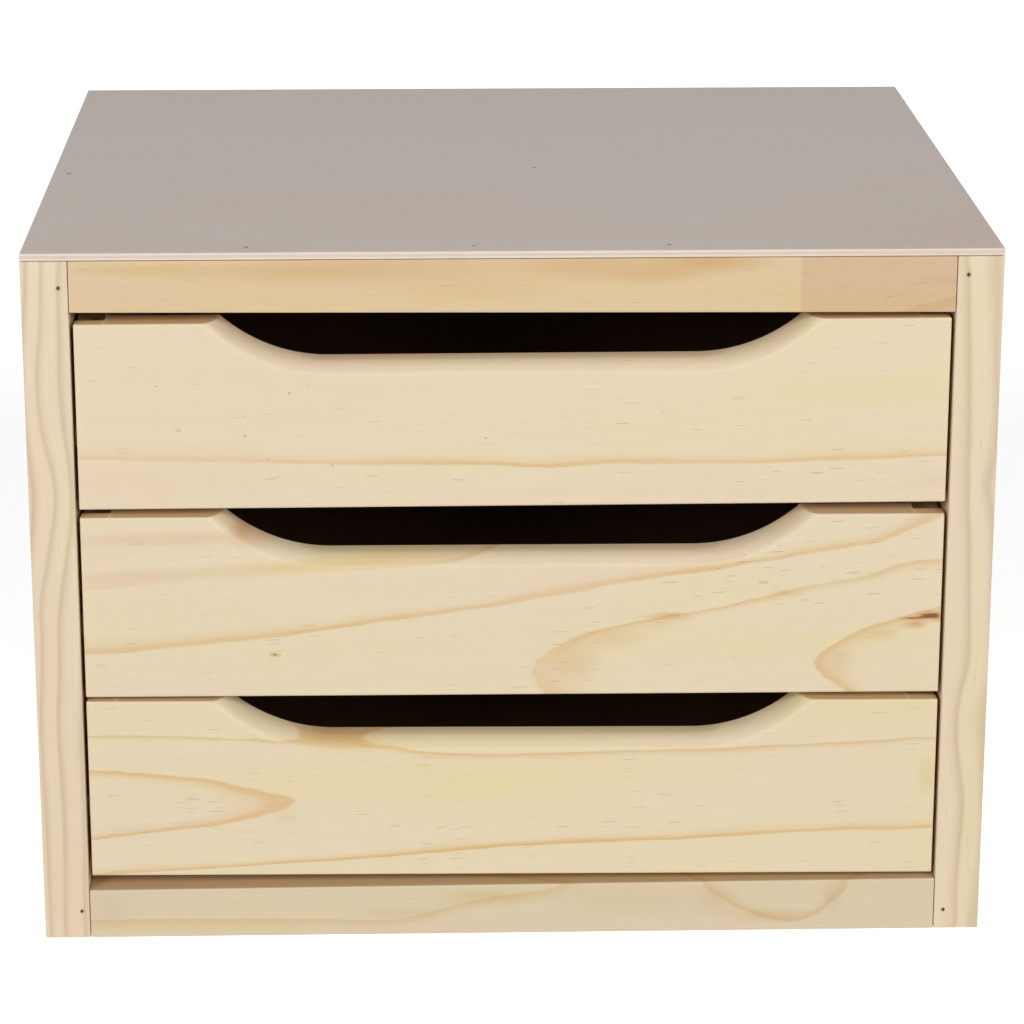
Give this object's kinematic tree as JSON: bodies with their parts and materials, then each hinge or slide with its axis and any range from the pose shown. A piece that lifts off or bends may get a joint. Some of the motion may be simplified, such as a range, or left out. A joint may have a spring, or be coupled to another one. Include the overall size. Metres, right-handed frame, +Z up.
{
  "type": "chest of drawers",
  "caption": "Small table-top chest of bare pine drawers with scooped fronts, a plywood top and back, hardboard drawer bottoms and wooden runners.",
  "frame": {"origin": "on the floor under the middle of the chest's footprint", "axes": "+Z up, the drawer fronts face -Y and the drawers slide out along -Y, +X to the right of someone who faces them"},
  "size_m": [0.4, 0.35, 0.3],
  "materials": {
    "pine": "bare planed pine",
    "rail_pine": "bare planed pine, a yellower board",
    "front_pine": "bare sanded pine",
    "drawer_pine": "bare planed pine",
    "plywood": "bare sanded three-ply",
    "hardboard": "smooth brown tempered hardboard",
    "brad_steel": "dull wire"
  },
  "bodies": {
    "carcass": {"left_side_panel": "pine", "right_side_panel": "pine", "top_panel": "plywood", "back_panel": "plywood", "top_front_rail": "rail_pine", "bottom_front_rail": "rail_pine", "top_back_rail": "rail_pine", "bottom_back_rail": "rail_pine", "top_middle_batten": "rail_pine", "bottom_left_runner": "pine", "bottom_right_runner": "pine", "middle_left_runner": "pine", "middle_right_runner": "pine", "top_left_runner": "pine", "top_right_runner": "pine", "top_left_stile_brad": "brad_steel", "top_right_stile_brad": "brad_steel", "bottom_left_stile_brad": "brad_steel", "bottom_right_stile_brad": "brad_steel", "top_front_left_brad": "brad_steel", "top_front_middle_brad": "brad_steel", "top_front_right_brad": "brad_steel", "top_left_edge_brad": "brad_steel", "top_batten_brad": "brad_steel"},
    "bottom_drawer": {"bottom_drawer_front": "front_pine", "bottom_drawer_left_side": "drawer_pine", "bottom_drawer_right_side": "drawer_pine", "bottom_drawer_back": "drawer_pine", "bottom_drawer_bottom": "hardboard", "bottom_drawer_left_lower_brad": "brad_steel", "bottom_drawer_left_upper_brad": "brad_steel", "bottom_drawer_right_lower_brad": "brad_steel", "bottom_drawer_right_upper_brad": "brad_steel", "bottom_drawer_left_back_brad": "brad_steel", "bottom_drawer_right_back_brad": "brad_steel"},
    "middle_drawer": {"middle_drawer_front": "front_pine", "middle_drawer_left_side": "drawer_pine", "middle_drawer_right_side": "drawer_pine", "middle_drawer_back": "drawer_pine", "middle_drawer_bottom": "hardboard", "middle_drawer_left_lower_brad": "brad_steel", "middle_drawer_left_upper_brad": "brad_steel", "middle_drawer_right_lower_brad": "brad_steel", "middle_drawer_right_upper_brad": "brad_steel", "middle_drawer_left_back_brad": "brad_steel", "middle_drawer_right_back_brad": "brad_steel"},
    "top_drawer": {"top_drawer_front": "front_pine", "top_drawer_left_side": "drawer_pine", "top_drawer_right_side": "drawer_pine", "top_drawer_back": "drawer_pine", "top_drawer_bottom": "hardboard", "top_drawer_left_lower_brad": "brad_steel", "top_drawer_left_upper_brad": "brad_steel", "top_drawer_right_lower_brad": "brad_steel", "top_drawer_right_upper_brad": "brad_steel", "top_drawer_left_back_brad": "brad_steel", "top_drawer_right_back_brad": "brad_steel"}
  },
  "joints": [
    {"name": "bottom_drawer_slide", "type": "slide", "parent": "carcass", "child": "bottom_drawer", "axis": [0, -1, 0], "range_m": [0, 0.25]},
    {"name": "middle_drawer_slide", "type": "slide", "parent": "carcass", "child": "middle_drawer", "axis": [0, -1, 0], "range_m": [0, 0.25]},
    {"name": "top_drawer_slide", "type": "slide", "parent": "carcass", "child": "top_drawer", "axis": [0, -1, 0], "range_m": [0, 0.25]}
  ]
}
